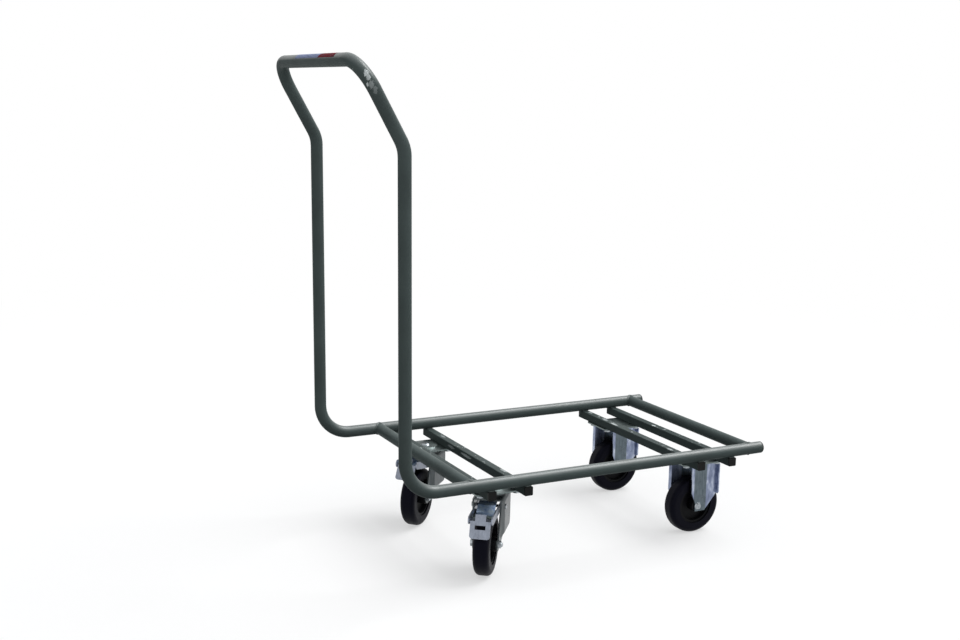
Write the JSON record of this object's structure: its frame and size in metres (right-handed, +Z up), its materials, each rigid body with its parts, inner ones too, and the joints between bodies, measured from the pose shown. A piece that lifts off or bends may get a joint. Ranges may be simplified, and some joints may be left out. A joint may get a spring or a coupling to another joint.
{
  "type": "crate trolley",
  "caption": "Low trolley for stacked crates: bent round-tube frame with a tall slanted push handle, square cross bars, fixed front casters and braked swivel rear casters.",
  "frame": {"origin": "on the floor, in the trolley's middle plane, halfway between the back of the push bar and the front ends of the rails", "axes": "+X forward, away from the push handle; +Y to the trolley's left; +Z up"},
  "size_m": [0.9391, 0.5069, 1.0001],
  "materials": {
    "frame_paint": "dark green-grey gloss paint over welded steel tube",
    "black_plastic": "moulded black plastic",
    "zinc": "bright zinc plating with a faint blue passivation",
    "zinc_bright": "bright zinc-plated fasteners",
    "ball_steel": "hardened bearing steel",
    "tyre_rubber": "black rubber",
    "wheel_plastic": "moulded black plastic wheel centre",
    "spring_steel": "blued spring steel",
    "shoe_sheet": "zinc-plated pressed sheet"
  },
  "bodies": {
    "frame": {"push_frame": "frame_paint", "rear_cross_tube": "frame_paint", "front_cross_tube": "frame_paint", "cross_bar_1": "frame_paint", "cross_bar_2": "frame_paint", "cross_bar_3": "frame_paint", "cross_bar_4": "frame_paint", "weld_beads": "frame_paint", "bar_end_caps": "black_plastic", "rail_end_plugs": "black_plastic", "rivet_nuts": "zinc_bright", "plate_bolts": "zinc_bright", "rear_left_top_plate": "zinc", "rear_right_top_plate": "zinc", "rear_left_king_pin": "zinc_bright", "rear_right_king_pin": "zinc_bright", "front_left_top_plate": "zinc", "front_right_top_plate": "zinc", "front_left_fork": "zinc", "front_right_fork": "zinc", "front_left_axle_pin": "zinc_bright", "front_right_axle_pin": "zinc_bright", "front_left_axle_sleeve": "zinc_bright", "front_right_axle_sleeve": "zinc_bright"},
    "rear_left_swivel": {"rear_left_fork": "zinc", "rear_left_balls": "ball_steel", "rear_left_axle_bolt": "zinc_bright", "rear_left_axle_nut": "zinc_bright", "rear_left_axle_sleeve": "zinc_bright", "rear_left_pivot_pin": "zinc_bright"},
    "rear_left_wheel": {"rear_left_rim": "wheel_plastic", "rear_left_tyre": "tyre_rubber"},
    "rear_left_brake": {"rear_left_brake_pedal": "zinc", "rear_left_brake_shoe": "shoe_sheet", "rear_left_leaf_spring": "spring_steel"},
    "front_left_wheel": {"front_left_rim": "wheel_plastic", "front_left_tyre": "tyre_rubber"},
    "rear_right_swivel": {"rear_right_fork": "zinc", "rear_right_balls": "ball_steel", "rear_right_axle_bolt": "zinc_bright", "rear_right_axle_nut": "zinc_bright", "rear_right_axle_sleeve": "zinc_bright", "rear_right_pivot_pin": "zinc_bright"},
    "rear_right_wheel": {"rear_right_rim": "wheel_plastic", "rear_right_tyre": "tyre_rubber"},
    "rear_right_brake": {"rear_right_brake_pedal": "zinc", "rear_right_brake_shoe": "shoe_sheet", "rear_right_leaf_spring": "spring_steel"},
    "front_right_wheel": {"front_right_rim": "wheel_plastic", "front_right_tyre": "tyre_rubber"}
  },
  "joints": [
    {"name": "rear_left_swivel_turn", "type": "hinge", "parent": "frame", "child": "rear_left_swivel", "pos_m": [-0.14653, 0.1585, 0.15], "axis": [0, 0, 1], "continuous": true},
    {"name": "rear_left_wheel_spin", "type": "hinge", "parent": "rear_left_swivel", "child": "rear_left_wheel", "pos_m": [-0.18106, 0.12516, 0.0625], "axis": [-0.6947, 0.7193, 0], "continuous": true},
    {"name": "rear_left_brake_press", "type": "hinge", "parent": "rear_left_swivel", "child": "rear_left_brake", "pos_m": [-0.16092, 0.14461, 0.132], "axis": [0.6947, -0.7193, 0], "range_deg": [0, 14]},
    {"name": "front_left_wheel_spin", "type": "hinge", "parent": "frame", "child": "front_left_wheel", "pos_m": [0.34747, 0.156, 0.0625], "axis": [0, 1, 0], "continuous": true},
    {"name": "rear_right_swivel_turn", "type": "hinge", "parent": "frame", "child": "rear_right_swivel", "pos_m": [-0.14653, -0.1585, 0.15], "axis": [0, 0, 1], "continuous": true},
    {"name": "rear_right_wheel_spin", "type": "hinge", "parent": "rear_right_swivel", "child": "rear_right_wheel", "pos_m": [-0.17609, -0.19632, 0.0625], "axis": [-0.788, 0.6157, 0], "continuous": true},
    {"name": "rear_right_brake_press", "type": "hinge", "parent": "rear_right_swivel", "child": "rear_right_brake", "pos_m": [-0.15885, -0.17426, 0.132], "axis": [0.788, -0.6157, 0], "range_deg": [-14, 0]},
    {"name": "front_right_wheel_spin", "type": "hinge", "parent": "frame", "child": "front_right_wheel", "pos_m": [0.34747, -0.156, 0.0625], "axis": [0, 1, 0], "continuous": true}
  ]
}
